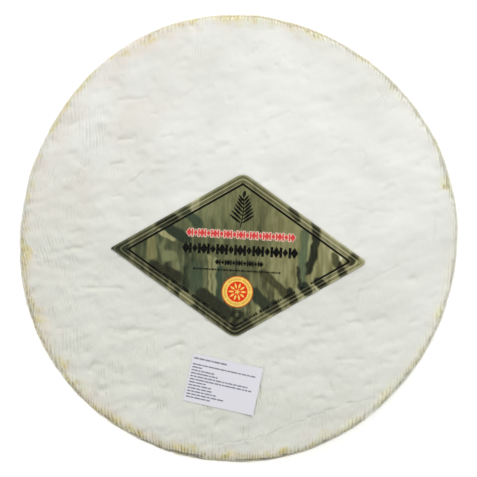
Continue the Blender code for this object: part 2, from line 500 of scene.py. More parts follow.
# %% Creases in this rind, and places where the mat's print is clear
# Each is a path on the wheel in millimetres, its half width in millimetres and its share of the full depth.
RIND_CREASES = (
    ((-154, -14), (-121, -7), 3.0, 0.7),
    ((-129, -42), (-109, -41), (-95, -43), 1.9, 1.0),
    ((-69, -65), (-65, -65), 2.0, 1.0),
    ((-101, -78), (-84, -76), (-68, -77), 2.6, 0.9),
    ((-60, -92), (-46, -87), 1.6, 0.8),
    ((-96, -120), (-60, -123), 2.6, 0.6),
    ((-31, -142), (-24, -140), 1.8, 0.9),
    ((96, -51), (101, -39), (116, -31), (131, -24), 1.7, 0.9),
    ((140, -34), (144, -33), 2.0, 0.9),
    ((51, -73), (66, -72), 2.2, 1.0),
    ((81, -100), (101, -100), 2.0, 0.9),
    ((88, -70), (100, -69), 1.7, 0.7),
    ((59, -133), (69, -132), 2.2, 0.9),
    ((74, -120), (77, -127), 2.2, 0.8),
    ((26, 96), (41, 103), 1.8, 0.8),
    ((30, 141), (32, 141), 1.6, 1.2),
    ((36, 149), (38, 146), 1.0, 0.7),
    ((12, 159), (13, 159), 1.4, 1.0),
    ((54, 94), (56, 94), 1.4, 0.6),
    ((76, 17), (89, 20), 2.2, 0.5),
    ((96, 23), (104, 22), (126, 20), 1.9, 0.6),
    ((98, 65), (103, 67), 2.4, 0.5),
    ((121, 61), (122, 61), 1.4, 1.0),
    ((108, 7), (121, 8), 2.0, 0.5),
    ((-98, 112), (-86, 113), (-75, 115), 1.9, 1.0),
    ((-72, 101), (-66, 101), 1.9, 0.9),
    ((-63, 81), (-55, 84), 1.7, 1.1),
    ((-89, 45), (-79, 52), 1.4, 1.2),
    ((-105, 59), (-95, 61), 1.8, 1.0),
    ((-84, 68), (-77, 68), 2.6, 0.9),
    ((-140, 68), (-134, 69), 2.8, 0.9),
    ((-88, 16), (-81, 17), 1.8, 0.9),
    ((-139, 3), (-129, 5), 2.8, 1.0),
    ((-134, 50), (-126, 58), 2.6, 0.8),
    ((-104, 33), (-95, 34), 1.9, 0.9),
    ((-44, 116), (-35, 124), 2.2, 0.5),
    ((-98, 79), (-84, 80), 1.7, 0.8),
    ((168, 41), (170, 41), 3.0, 1.4),
    ((168.5, 22), (169.5, 22), 2.4, 1.2),
    # The last seven lie under the film's creases and overlap lines and by the sticker's loose edge; their
    # painted shade stands for the shadows of those edges.
    ((112, 110), (117, 114), (125, 121), 1.0, 0.7),
    ((114, 120), (119, 113), 0.9, 0.6),
    ((123, 103), (128, 106), 1.0, 0.6),
    ((37, -155), (59, -147), (88, -136), (112, -132), 0.9, 0.45),
    ((-28, -171), (2, -167), (20, -163), (37, -155), 0.8, 0.4),
    ((160, 16), (160, 5), (159, -4), 1.1, 0.5),
    ((17.5, -122), (16.5, -131), 1.1, 1.3),
)
MAT_PATCHES = (
    ((-120, 76), (-117, 86), 13.0, 1.5),
    ((-134, 99), (-130, 95), 13.0, 1.1),
    ((-142, -48), (-137, -56), 10.0, 1.0),
    ((-132, -80), (-128, -87), 11.0, 0.9),
    ((-112, -112), (-108, -120), 11.0, 0.8),
    ((-73, -89), (-72, -94), 10.0, 1.0),
    ((44, -66), (58, -68), 13.0, 0.7),
    ((97, 115), (104, 120), 12.0, 0.8),
    ((-117, 22), (-117, 32), 13.0, 0.7),
    ((-31, 154), (-31, 164), 13.0, 0.6),
    ((115, -52), (135, -55), 11.0, 0.5),
)
print(len(RIND_CREASES), "creases and", len(MAT_PATCHES), "patches of clear print")

# %% The points of the faces
ROW_STEP, CREASE_CELL = 0.0019, 0.0011
FINE_FROM, UNDER_FOIL = 0.104, -0.004
LATTICE_REACH = 0.19


def within(ring, x, y, margin):
    """Whether a point is inside a ring of points that are evenly spaced round the middle."""
    nearest = round(math.atan2(y, x) / (2 * math.pi) * len(ring)) % len(ring)
    return math.hypot(x, y) < ring[nearest].length - margin


def crowded_cells(ring, lines, shares, cell):
    """The points of the lines that are inside the ring, and the cells that they take up."""
    crowded = [place for place in line_points(lines, shares) if within(ring, *place, 0.001)]
    return crowded, {(round(x / cell), round(y / cell)) for x, y in crowded}


def face_points(ring):
    """The rind's own lattice: columns along the ridges, fewer where the rind is plain, and the creases."""
    crowded, taken = crowded_cells(ring, RIND_CREASES, (-1, -0.5, 0, 0.5, 1), CREASE_CELL)
    yield from crowded
    columns = int(LATTICE_REACH / RIDGE_PITCH * COLUMNS_A_RIDGE)
    rows = round(LATTICE_REACH / ROW_STEP)
    for column in range(-columns, columns + 1):
        for row in range(-rows, rows + 1):
            y = row * ROW_STEP
            x = column_place(column / COLUMNS_A_RIDGE, y)
            under_foil = outside_foil(x, y) < UNDER_FOIL
            every = 6 if under_foil else 1 if math.hypot(x, y) > FINE_FROM else 2
            kept = column % every == 0 and (row % 2 == 0 or not under_foil)
            free = (round(x / CREASE_CELL), round(y / CREASE_CELL)) not in taken
            if kept and free and within(ring, x, y, 0.0005):
                yield x, y


def even_points(ring, step, lines=()):
    """A plain square lattice inside the ring, left open where lines have closer points already."""
    crowded, taken = crowded_cells(ring, lines, (-1, 0, 1), step)
    cells = int(LATTICE_REACH / step)
    for column in range(-cells, cells + 1):
        for row in range(-cells, cells + 1):
            x, y = column * step, row * step
            if (column, row) not in taken and within(ring, x, y, 0.6 * step):
                yield x, y
    yield from crowded


# %% Closed skins
SHOULDER_START = 0.33


def joined_up(border, inside):
    """A border and the points inside it, joined up: places, triangles, and what each place came from."""
    edges = [(i, (i + 1) % len(border)) for i in range(len(border))]
    found = geometry.delaunay_2d_cdt(border + inside, edges, [], 1, 1e-7)
    return found[0], found[2], found[3]


def add_cap(verts, faces, ring, points, level, upwards):
    """Fills a ring of the mesh with points at their levels, and joins them up."""
    flat = [verts[i].to_2d() for i in ring]
    numbers = []
    places, triangles, origins = joined_up(flat, [Vector(point) for point in points(flat)])
    for place, origin in zip(places, origins):
        first = min(origin)
        numbers.append(ring[first] if first < len(ring) else len(verts))
        if first >= len(ring):
            verts.append(Vector((place.x, place.y, level(place.x, place.y))))
    for triangle in triangles:
        face = [numbers[i] for i in triangle]
        faces.append(face if upwards else face[::-1])


def note(mesh, name, values):
    """Writes one number for each point of a mesh into a named attribute."""
    mesh.attributes.new(name, "FLOAT", "POINT").data.foreach_set("value", list(values))


def closed_skin(name, around, wall_rings, foot_rings, top_points, base_step, level):
    """A closed skin over the wheel's form: a face, a wall of rings and an underside."""
    turns = even_turns(around)
    shares = [SHOULDER_START + (1 - SHOULDER_START) * i / wall_rings for i in range(wall_rings + 1)]
    rings = [[shoulder_point(turn, share) for turn in turns] for share in shares]
    rings += [[foot_point(turn, (i + 1) / foot_rings) for turn in turns] for i in range(foot_rings)]
    verts = [point for ring in rings for point in ring]
    last = len(verts) - around
    faces = []
    for upper in range(0, last, around):
        for i in range(around):
            j = (i + 1) % around
            faces.append([upper + i, upper + around + i, upper + around + j, upper + j])
    add_cap(verts, faces, range(around), top_points, level, True)
    foot = range(last, last + around)
    add_cap(verts, faces, foot, lambda ring: even_points(ring, base_step), lambda x, y: 0.0, False)
    mesh = bpy.data.meshes.new(name)
    mesh.from_pydata([vert - form_middle for vert in verts], [], faces)
    mesh.shade_smooth()
    note(mesh, "rim_distance", [outline_radius(math.atan2(v.y, v.x)) - v.to_2d().length for v in verts])
    note(mesh, "foil_distance", [outside_foil(v.x, v.y) for v in verts])
    note(mesh, "label_distance", [outside_labels(v.x, v.y) for v in verts])
    print(name, "has", sum(len(face) - 2 for face in faces), "triangles")
    return placed(name, mesh)


def places(item):
    """The places of a piece's points, one row each."""
    return np.array([vert.co for vert in item.data.vertices])


def note_lines(item, name, lines):
    """Writes how high lines stand at each point of a skin, and nothing near the table."""
    spots = places(item)
    note(item.data, name, line_heights(spots, lines) * np.clip(spots[:, 2] / 0.01 - 1.0, 0, 1))


# %% The rind's skin
# A skin's rings: the points round each, how many there are down the wall, and how many more round the foot.
RIND_RINGS, RIND_BASE_LATTICE = (1400, 10, 8), 0.0034
rind = closed_skin("rind", *RIND_RINGS, face_points, RIND_BASE_LATTICE, top_level)
spots = places(rind)[:, :2] + form_middle[:2]
note(rind.data, "mat_turns", [(x + mat_drift(x, y)) / RIDGE_PITCH for x, y in spots])
note_lines(rind, "crease", RIND_CREASES)
note_lines(rind, "mat_print", MAT_PATCHES)

# %% [markdown]
# ## The relief of the rind
#
# The ridges are clear near the rim and in patches, and lie under the mould elsewhere. Over them the face is
# wrinkled: shallow folds, most of them a little up to the right, with short sharp creases, soft dents and
# lumps, and a few pits. A small geometry node tree lays all of this over the skin, because each part is a
# rule on the place with a size of its own. It also writes down how deep in a groove, crease, dent or pit a
# point lies, for the colour to follow with brown ticks at the rim and painted shade.

# %% Helpers for geometry node trees
class Form(Nodes):
    """A geometry node tree with named inputs, its sizes and a material."""

    def __init__(self, name, sizes):
        super().__init__(bpy.data.node_groups.new(name, "GeometryNodeTree"))
        new_socket = self.tree.interface.new_socket
        new_socket("Geometry", in_out="INPUT", socket_type="NodeSocketGeometry")
        new_socket("Geometry", in_out="OUTPUT", socket_type="NodeSocketGeometry")
        for label, value in sizes.items():
            kind = {int: "NodeSocketInt", float: "NodeSocketFloat"}[type(value)]
            new_socket(label, in_out="INPUT", socket_type=kind).default_value = value
        new_socket("Material", in_out="INPUT", socket_type="NodeSocketMaterial")
        group = self.add("NodeGroupInput")
        self.given = {label: group.at(label) for label in ("Geometry", *sizes, "Material")}

    def noted(self, name):
        """A number that is written on the mesh's points."""
        return self.add("GeometryNodeInputNamedAttribute", {"Name": name}, {"data_type": "FLOAT"})

    def along(self, where, heading, length, width):
        """Coordinates in which features are long one way and short across it."""
        sockets = {"Vector": where, "Angle": -heading}
        turned = self.add("ShaderNodeVectorRotate", sockets, {"rotation_type": "Z_AXIS"})
        return self.stretched(turned, (1 / length, 1 / width, 1 / width))

    def end(self, shape):
        """Ends the tree in realized instances with the material set."""
        real = self.add("GeometryNodeRealizeInstances", {"Geometry": shape})
        done = self.add("GeometryNodeSetMaterial", {"Geometry": real, "Material": self.given["Material"]})
        self.add("NodeGroupOutput", {"Geometry": done})
        return self

    def end_moved(self, normal, rise, name, value):
        """Moves the points along their normals, writes a number on them, and ends the tree."""
        settings = {"operation": "SCALE"}
        offset = self.add("ShaderNodeVectorMath", {"Vector": normal, "Scale": rise}, settings)
        moved = self.add("GeometryNodeSetPosition", {"Geometry": self.given["Geometry"], "Offset": offset})
        settings = {"data_type": "FLOAT", "domain": "POINT"}
        sockets = {"Geometry": moved, "Name": name, "Value": value}
        return self.end(self.add("GeometryNodeStoreNamedAttribute", sockets, settings))


def keep_result(item):
    """Keeps the result of an object's modifiers as its plain mesh."""
    depsgraph = bpy.context.evaluated_depsgraph_get()
    mesh = bpy.data.meshes.new_from_object(item.evaluated_get(depsgraph))
    item.modifiers.clear()
    item.data = mesh


def apply_tree(item, nodes, inputs):
    """Runs the tree on an object and keeps its result as a plain mesh."""
    modifier = item.modifiers.new("shape", "NODES")
    modifier.node_group = nodes.tree
    for socket in nodes.tree.interface.items_tree:
        if socket.in_out == "INPUT" and socket.name in inputs:
            modifier[socket.identifier] = inputs[socket.name]
    keep_result(item)


# %% The soft relief, which the film follows too
WRINKLE_HEADING = math.radians(14)
SOFT_RELIEF = {"Fold Height": 0.0019, "Lump Height": 0.0010, "Crumple Height": 0.0011, "Sink": 0.00030}
HIGHEST, HIGHEST_ROUND_LABELS = 0.0012, -0.00005


def skin_tree(name, sizes):
    """A tree for a skin, and its places, normals, share of facing up, and distance from the rim."""
    nodes = Form(name, {**SOFT_RELIEF, **sizes})
    where = nodes.add("GeometryNodeInputPosition")
    normal = nodes.add("GeometryNodeInputNormal")
    on_top = nodes.ease(nodes.parts(normal)[2], -0.05, 0.45)
    return nodes, where, normal, on_top, nodes.noted("rim_distance")


def soft_relief(nodes, where, on_top):
    """The folds and lumps of the rind, kept under a level, and how strong relief is at a place."""
    given = nodes.given
    x, y, _ = nodes.parts(where)
    strong = nodes.math("MAXIMUM", nodes.math("MINIMUM", 1.08 - x * 4.4 - y * 4.2, 2.1), 0.6)
    fold_way = nodes.along(where, WRINKLE_HEADING, 0.026, 0.0100)
    fold = nodes.noise(fold_way, 1.0, 9.0, 1.0) - 0.5
    lump = nodes.noise(where, 0.013, 19.0, 1.0) - 0.5
    crumple_way = nodes.along(where, WRINKLE_HEADING, 0.0085, 0.0055)
    crumple = (nodes.noise(crumple_way, 1.0, 23.0, 1.0) - 0.5) * nodes.ease(strong, 0.55, 1.5)
    folded = (fold * given["Fold Height"] + lump * given["Lump Height"]) * (strong * 0.5 + 0.5)
    wrinkled = (folded + crumple * given["Crumple Height"]) * (on_top * 0.5 + 0.5)
    soft = wrinkled - given["Sink"] * (on_top * 0.8 + 1.0)
    free = nodes.ease(nodes.noted("label_distance"), 0.0, 0.012)
    highest = free * (HIGHEST - HIGHEST_ROUND_LABELS) + HIGHEST_ROUND_LABELS
    held = soft * free + (1.0 - free) * HIGHEST_ROUND_LABELS
    return nodes.math("MINIMUM", held, highest), strong


def off_the_table(nodes, where):
    """A factor for the relief: nothing at the table, and all of it from three millimetres up."""
    return nodes.ease(nodes.parts(where)[2], 0.0002, 0.003)


# %% The relief tree
PIT_CELL, KNOT_CELL = 0.015, 0.0046
PITS_FROM, KNOTS_FROM = 0.85, 0.45


def rind_relief():
    """Mat ridges, folds, dents, creases and pits, along the skin's normals."""
    sizes = {"Ridge Depth": 0.00054, "Dent Depth": 0.00085, "Crease Depth": 0.00047, "Pit Depth": 0.0006}
    nodes, where, normal, on_top, inset = skin_tree("rind relief", sizes)
    given = nodes.given
    soft, strong = soft_relief(nodes, where, on_top)

    dent_way = nodes.along(where, WRINKLE_HEADING, 0.0150, 0.0070)
    dents = nodes.ease(nodes.noise(dent_way, 1.0, 31.0, 1.0), 0.45, 0.29)
    dented = nodes.ease(nodes.noise(where, 0.030, 35.0, 1.0), 0.38, 0.58) * 0.75 + 0.25
    dent = dents * dented * on_top
    crease = nodes.noted("crease")

    ridge = nodes.math("COSINE", nodes.noted("mat_turns") * (2 * math.pi)) * 0.5 + 0.5
    patches = nodes.ease(nodes.noise(where, 0.015, 5.0, 2.0), 0.52, 0.60) * nodes.ease(strong, 0.4, 1.6)
    near_rim = nodes.ease(inset, 0.085, 0.030) * 0.7 + 0.3
    stroke_way = nodes.along(where, math.radians(90), 0.0065, 0.0026)
    broken = nodes.ease(nodes.noise(stroke_way, 1.0, 61.0, 1.0), 0.36, 0.58) * 0.9 + 0.1
    printed = nodes.math("MAXIMUM", patches * near_rim, nodes.noted("mat_print")) * broken
    at_rim = nodes.ease(inset, 0.0115, 0.0045)
    combed = at_rim * (broken * 0.8 + 0.4)
    strength = nodes.math("MAXIMUM", printed * (1.0 - dents * 0.8), combed) + 0.02
    groove = (ridge**1.5) * strength * on_top

    def hollows(cell, colour_part, chosen_from, wide, narrow):
        """Round hollows in some of the cells of a random pattern."""
        cells = nodes.add("ShaderNodeTexVoronoi", {"Vector": where, "Scale": 1 / cell})
        pick = nodes.add("FunctionNodeSeparateColor", {0: cells.at("Color")}).at(colour_part)
        return nodes.ease(cells.at("Distance"), wide, narrow) * (pick > chosen_from)

    pit = hollows(PIT_CELL, "Red", PITS_FROM, 0.085, 0.01)
    knot = hollows(KNOT_CELL, "Green", KNOTS_FROM, 0.42, 0.12) * at_rim * on_top
    rise = (
        soft * off_the_table(nodes, where)
        - (dent * given["Dent Depth"] + crease * given["Crease Depth"]) * (strong * 0.75 + 0.25)
        - groove * (strong * 0.6 + 0.4) * given["Ridge Depth"]
        - (pit + knot * 0.6) * given["Pit Depth"]
    )
    # The marks lead the colour: brown ticks at the rim, and painted shade in grooves, creases, dents, pits
    # and knots.
    marks = groove + crease * 0.6 + pit + dent * 0.4 + knot * 0.9
    return nodes.end_moved(normal, rise, "groove", marks)


# %% The rind's colour and touch
def rind_material():
    """White mould, matt and powdery, worn to straw round the rim, with painted shade in its grooves and along
    its edge, and painted light on its right rim.
    """
    nodes = Finish("white mould rind")
    where = nodes.place()
    x, y, z = nodes.parts(where)
    groove = nodes.noted("groove")
    inset = nodes.noted("rim_distance")

    # The face: cool white, warmer in patches at the upper left, and greyer towards the lower left as painted
    # shade away from the light.
    clouds = nodes.noise(where, 0.05, 2.0, 3.0)
    cool = nodes.mix(nodes.ease(clouds, 0.35, 0.65), colour(222, 223, 216), colour(230, 231, 225))
    warm_patch = nodes.ease(nodes.noise(where, 0.026, 21.0, 2.0), 0.36, 0.68)
    warm_side = nodes.ease(y * 0.6 - x, 0.07, 0.16)
    white = nodes.mix(warm_patch * warm_side * 0.8, cool, colour(223, 218, 210))
    toward_lower_left = nodes.ease(x * 0.35 + y, 0.10, -0.16)
    greyed_lower_left = nodes.mix(toward_lower_left * 0.55, white, colour(214, 216, 203))

    # Where round the wheel a point is, as the rim differs from side to side. The edge's painted shade is
    # strongest on the lower side, which the light leaves in shade, and some is added on the lit upper right
    # to darken what the light brightens there. The outermost edge keeps less straw, fewer ticks and less
    # painted shade, except on the lower side.
    wander = nodes.noise(where, 0.016, 4.0, 3.0) - 0.5
    lit = nodes.math("MAXIMUM", x + y, 0.0)
    low = nodes.math("MAXIMUM", 0.20 - y * 4.2 - x * 0.5, 0.12)
    edge_shade = nodes.math("MINIMUM", low + lit * 1.8, 1.0)
    greener = nodes.ease(x, 0.03, 0.14)
    far_rim = nodes.ease(y, 0.150, 0.178)
    near_left = nodes.ease(x + y, -0.16, -0.24)
    near_right = nodes.ease(x - y, 0.12, 0.24)
    outer_edge_fade = 1.0 - nodes.ease(inset, 0.0022, 0.0005) * (1.0 - low) * 0.8

    # The straw of the worn rim, in patches and flecks.
    hue = nodes.noise(where, 0.012, 52.0, 2.0)
    blush = nodes.ease(inset + wander * 0.03, 0.022, 0.006) * nodes.ease(hue, 0.60, 0.42)
    flushed = nodes.mix(blush * (0.5 - greener * 0.4), greyed_lower_left, colour(226, 214, 204))
    # Painted light: the rim on the right and lower right is lightened, against the shade of its shoulder
    # there.
    lightened_right_rim = nodes.mix(nodes.ease(inset, 0.011, 0.005) * near_right * 0.6, flushed, colour(238, 236, 222))
    dull_straw = nodes.mix(nodes.ease(hue, 0.40, 0.60), colour(227, 217, 200), colour(218, 220, 188))
    pale_straw = nodes.mix(greener * 0.8, dull_straw, colour(236, 235, 202))
    deep_straw = nodes.mix(greener, colour(215, 201, 128), colour(228, 227, 172))
    shade = nodes.noise(where, 0.006, 6.0, 3.0)
    straw = nodes.mix(nodes.ease(shade, 0.35, 0.60) * (1.0 - greener * 0.6), pale_straw, deep_straw)
    reach = low * 0.0006 + far_rim * 0.0060 + near_left * 0.0042 + 0.0079
    rim = nodes.ease(inset + wander * 0.026, reach, 0.0028)
    stretch = nodes.ease(nodes.noise(where, 0.020, 44.0, 2.0), 0.44, 0.60)
    fleck = nodes.ease(nodes.noise(where, 0.0021, 57.0, 2.0), 0.40, 0.60)
    thickly = nodes.math("MINIMUM", stretch * 0.8 + low * 0.5 + far_rim * 0.36, 1.0)
    base = nodes.mix(rim * outer_edge_fade * thickly * (fleck * 0.4 + 0.6), lightened_right_rim, straw)

    # The grooves: brown ticks at the rim, which are the rind's own colour but stronger where the edge has
    # painted shade and weaker on the right as painted light; and painted shade in every groove, crease, dent
    # and pit.
    ticks = nodes.ease(groove, 0.35, 0.85) * nodes.ease(inset + wander * 0.03, 0.0098, 0.0036)
    ticking = (edge_shade * 1.1 + far_rim * 0.25 + 0.12) * (1.0 - near_right * 0.45)
    ticked = nodes.mix(ticks * outer_edge_fade * (stretch * 0.4 + 0.36) * ticking, base, colour(150, 136, 78))
    shaded = nodes.mix(groove * (toward_lower_left * 0.08 + 0.20), ticked, colour(188, 182, 160))

    # Painted shade: a dark line along the edge of the face, darkest along the bottom, where the lower wall
    # lies in shade. The foot is browner near the table, partly the rind's tan and partly painted shade under
    # the belly.
    onset = nodes.ease(inset - lit * 0.011 + wander * 0.008, 0.0025, 0.0006)
    edge = onset * outer_edge_fade * nodes.ease(z + wander * 0.006, 0.0170, 0.0220)
    brown = nodes.mix(greener, colour(124, 115, 84), colour(141, 138, 108))
    deep_brown = nodes.mix(nodes.ease(y, -0.140, -0.178), brown, colour(80, 70, 40))
    edged = nodes.mix(edge * edge_shade * (fleck * 0.3 + 0.7), shaded, deep_brown)
    under = nodes.ease(z, 0.0135, 0.0050)
    tan_and_shaded_foot = nodes.mix(under * (shade * 0.6 + 0.3), edged, colour(140, 130, 98))

    grain = nodes.ease(nodes.noise(where, 0.0013, 77.0, 1.0), 0.35, 0.65)
    powdery = nodes.mix(grain * (toward_lower_left * 0.12 + 0.03), tan_and_shaded_foot, colour(190, 188, 176))
    bump = nodes.bump(nodes.noise(where, 0.0011, 8.0, 3.0, 0.6), 0.55, 0.0003)
    touch = {"Roughness": 0.8, "Specular IOR Level": 0.3, "Normal": bump}
    return nodes.principled({"Base Color": powdery, **touch})


RIND_UNDERSIDE = 0.0003


def raise_underside(mesh, height):
    """Raises a skin's underside by a height, and leaves its face where it is."""
    squeeze = Matrix.Diagonal((1.0, 1.0, 1 - height / THICKNESS, 1.0))
    mesh.transform(Matrix.Translation((0.0, 0.0, height)) @ squeeze)


apply_tree(rind, rind_relief(), {"Material": rind_material()})
raise_underside(rind.data, RIND_UNDERSIDE)
print("the rind's top is at", round(1000 * places(rind)[:, 2].max(), 2), "mm")

# %% [markdown]
# ## The foil label
#
# The label is a diamond of printed foil paper that lies on the cheese, under the film. Its outline is four
# straight sides with round corners. It is filled with a lattice so that it can follow the lumps of the
# face. The film has pulled the foil into soft folds. They are listed once, and serve twice: they raise or
# sink the foil a little, and they give the foil's colour its painted reflections, light, dark or green,
# with a few painted white glints. Solidify gives it a paper's thickness.

# %% The folds of the foil
# Each fold runs between two points of the plan in millimetres. Its half width, its painted shine from 0
# to 1 and its painted green follow. The shine and the green are reflections painted into the foil's colour.
FOIL_FOLDS = (
    ((62, 30), (61, 3), 3.3, 0.20, 0.1),
    ((61, 3), (57, -10), 2.8, 0.18, 0.1),
    ((57.5, 15), (55, -1), 1.5, 0.82, 0.3),
    ((53, 21), (51.8, -21), 2.9, 0.50, 0.9),
    ((48.5, -7), (50, -21), 1.2, 0.25, 0.0),
    ((21, -13.5), (41, -30), 3.0, 0.34, 0.0),
    ((14, -30), (27, -42), 3.8, 0.24, 0.3),
    ((62, -19.5), (67, -26), 0.9, 1.0, 0.0),
    ((64.5, -18), (69, -24), 0.8, 0.9, 0.0),
    ((42, 40), (46, 32), 2.6, 0.25, 0.0),
    ((95, 6), (91, 0), 3.2, 0.30, 0.0),
    ((66, -18), (71, -22), 3.6, 0.13, 0.0),
    ((43, -27), (47, -36), 2.8, 0.18, 0.0),
    ((31, -37), (35, -44), 2.4, 0.20, 0.0),
    ((82, -4), (86, -11), 3.2, 0.18, 0.0),
    ((54, -22), (58, -27), 3.4, 0.13, 0.6),
    ((78, 4), (79, -3), 2.4, 0.38, 0.0),
    ((-4, -59), (9, -58), 6.0, 0.20, 0.0),
    ((-66, 23), (-55, 27), 3.6, 0.10, 0.2),
    ((-62, 20), (-44, 11), 3.4, 0.20, 0.6),
    ((-46, 34), (-35, 24), 3.4, 0.28, 0.9),
    ((-37.5, 44), (-37.5, 36.5), 2.8, 0.92, 0.0),
    ((-72, 9), (-71, -4), 3.2, 0.60, 0.0),
    ((-65, 15.5), (-54, 10), 1.9, 0.82, 0.0),
    ((-59, -4), (-55, -4), 4.2, 0.66, 0.4),
    ((-68, -13.5), (-50, -20), 4.4, 0.24, 0.0),
    ((-34, -12), (-33, -27), 4.4, 0.32, 0.9),
    ((-23.5, -2), (-21.4, -39), 1.4, 0.72, 0.0),
    ((-18.5, -4), (-17.7, -32), 1.8, 0.74, 0.2),
    ((-14.8, -12), (-14, -38), 2.4, 0.28, 1.0),
    ((-28, -33), (-7.5, -48), 4.8, 0.22, 0.1),
    ((-103, -1.5), (-94, -1), 5.2, 0.22, 0.6),
    ((-2, -52), (-6, -60), 1.2, 0.42, 0.0),
    ((9, -47), (4, -56), 1.6, 0.36, 0.3),
    ((-12, -50), (-16, -54), 1.4, 0.34, 0.0),
    ((-45, -34), (-37, -40), 2.4, 0.75, 0.0),
)
FOLD_RAGGED_LENGTH, FOLD_RAGGED_REACH = 7, 1.6


def foil_shine(plan):
    """The foil's painted reflections at points of its plan: how light and how green it is painted."""
    flat = plan * 1000
    u, v = flat.T
    bent = flat + FOLD_RAGGED_REACH * wander(flat, FOLD_RAGGED_LENGTH, 0.4)[:, :2]
    streaks = [noise.fractal(Vector((a / 5.0, b / 24, 3.1)), 0.8, 2.1, 5) for a, b in bent]
    blotches = [noise.noise(Vector((a / 30, b / 24, 7.7))) for a, b in bent]
    # Painted reflection: lighter to the right and at the top, darker low down, with streaks and blotches.
    low = np.clip((4 - v) / 55, 0, 1) * (0.19 - 0.003 * np.clip(u, 0, 60))
    high = np.clip((v - 20) / 15, 0, 1) * 0.03
    rough = 0.14 + 0.24 * np.clip((16 - v) / 50, 0, 1.2)
    shine = 0.570 + 0.0024 * u - low + high + rough * np.array(streaks) + 0.16 * np.array(blotches)
    green = np.clip(0.25 - 0.004 * u, 0, 0.4)
    for start, end, half_width, light, teal in FOIL_FOLDS:
        on = np.clip(2.4 - 1.7 * away_from(bent, start, end) / half_width, 0, 1)
        on = on * on * (3 - 2 * on)
        shine += (light - shine) * on
        green += (teal - green) * on
    return np.clip(shine, 0, 1), np.clip(green, 0, 1)


print("the foil has", len(FOIL_FOLDS), "folds")

# %% The lie of the labels
FOIL_WAVE, FOIL_WAVE_LENGTH = 0.00020, 0.021
FOLD_RELIEF = 0.00030
STICKER_LIFT, STICKER_LIFT_FROM = 0.0012, 0.55
PAPER_GAP, PAPER_THICKNESS = 0.00028, 0.00010


def foil_levels(plan, x, y):
    """The levels of the foil's upper side."""
    waves = [noise.noise(Vector((a, b, 0.9)) / FOIL_WAVE_LENGTH) for a, b in zip(x, y)]
    faces = [face_height(a, b) for a, b in zip(x, y)]
    lift = LABEL_GAP + LABEL_THICKNESS + FOIL_WAVE * np.array(waves)
    return np.array(faces) + lift + FOLD_RELIEF * (foil_shine(plan)[0] - 0.5)


def sticker_levels(plan, x, y):
    """The levels of the paper sticker's upper side, which rises along its loose edge."""
    loose = np.clip(plan[:, 0] / (STICKER_WIDTH / 2) - STICKER_LIFT_FROM, 0, 1) / (1 - STICKER_LIFT_FROM)
    faces = [face_height(a, b) for a, b in zip(x, y)]
    return np.array(faces) + PAPER_GAP + PAPER_THICKNESS + STICKER_LIFT * loose * loose


FOIL_PLACE = (FOIL_MIDDLE, FOIL_TURN, foil_levels)
STICKER_PLACE = (STICKER_MIDDLE, STICKER_TURN, sticker_levels)
print("the sticker's loose edge is", 1000 * STICKER_LIFT, "mm up")

# %% Flat shapes
def inside_outline(point, outline, margin):
    """Whether a point is inside an outline and at least this far from its sides."""
    inside = False
    for i, start in enumerate(outline):
        end = outline[(i + 1) % len(outline)]
        near, share = geometry.intersect_point_line(point, start, end)
        close = near if 0 < share < 1 else start if share <= 0 else end
        if (point - close.to_2d()).length < margin:
            return False
        if (start.y > point.y) != (end.y > point.y):
            if point.x < start.x + (point.y - start.y) / (end.y - start.y) * (end.x - start.x):
                inside = not inside
    return inside


def split(outline, step, closed=True):
    """Adds points along an outline or a path, so that no step is much longer than the given one."""
    fine = []
    for start, end in zip(outline, outline[1:] + (outline[:1] if closed else [])):
        pieces = max(1, round((end - start).length / step))
        fine.extend(start.lerp(end, i / pieces) for i in range(pieces))
    return fine if closed else fine + outline[-1:]


def filled(outline, step):
    """A flat sheet inside an outline: its points, with a lattice between them, and its triangles."""
    border = split(outline, step)
    low = Vector((min(p.x for p in border), min(p.y for p in border)))
    high = Vector((max(p.x for p in border), max(p.y for p in border)))
    columns, rows = [range(1, int(size / step) + 1) for size in high - low]
    lattice = [low + Vector((column * step, row * step)) for column in columns for row in rows]
    inside = [point for point in lattice if inside_outline(point, outline, 0.4 * step)]
    return joined_up(border, inside)[:2]


def band(path, width, closed=True, step=0.0015):
    """A flat strip of even width along a path: its points, and its faces."""
    fine = split(path, step, closed)
    count = len(fine)
    points, faces = [], []
    for i, point in enumerate(fine):
        before = fine[i - 1] if closed or i else point
        after = fine[(i + 1) % count] if closed or i + 1 < count else point
        ways = [way.normalized() for way in (point - before, after - point) if way.length > 0]
        across = Vector((-sum(way.y for way in ways), sum(way.x for way in ways))).normalized()
        reach = width / 2 / max(0.3, across.dot(Vector((-ways[0].y, ways[0].x))))
        points += [point + across * reach, point - across * reach]
    for i in range(count if closed else count - 1):
        j = (i + 1) % count
        faces.append([2 * i, 2 * i + 1, 2 * j + 1, 2 * j])
    return points, faces


def diamond(long, short, cuts, steps=5):
    """A diamond's outline from its right corner, each corner rounded from a distance along its sides."""
    corners = [Vector((long / 2, 0)), Vector((0, short / 2)), Vector((-long / 2, 0)), Vector((0, -short / 2))]
    outline = []
    for i, cut in enumerate(cuts):
        corner, before, after = corners[i], corners[i - 1], corners[(i + 1) % 4]
        start = corner + (before - corner).normalized() * cut
        end = corner + (after - corner).normalized() * cut
        for step in range(steps + 1 if cut else 1):
            share = step / steps
            outline.append(start.lerp(corner, share).lerp(corner.lerp(end, share), share))
    return outline


# %% Laying flat shapes on the wheel
PRINT_LIFT, PRINT_THICKNESS = 0.00005, 0.00004


def thicken(item, thickness):
    """Gives a sheet thickness, from its outer side inwards."""
    solid = item.modifiers.new("thickness", "SOLIDIFY")
    solid.thickness = thickness
    solid.offset = -1.0


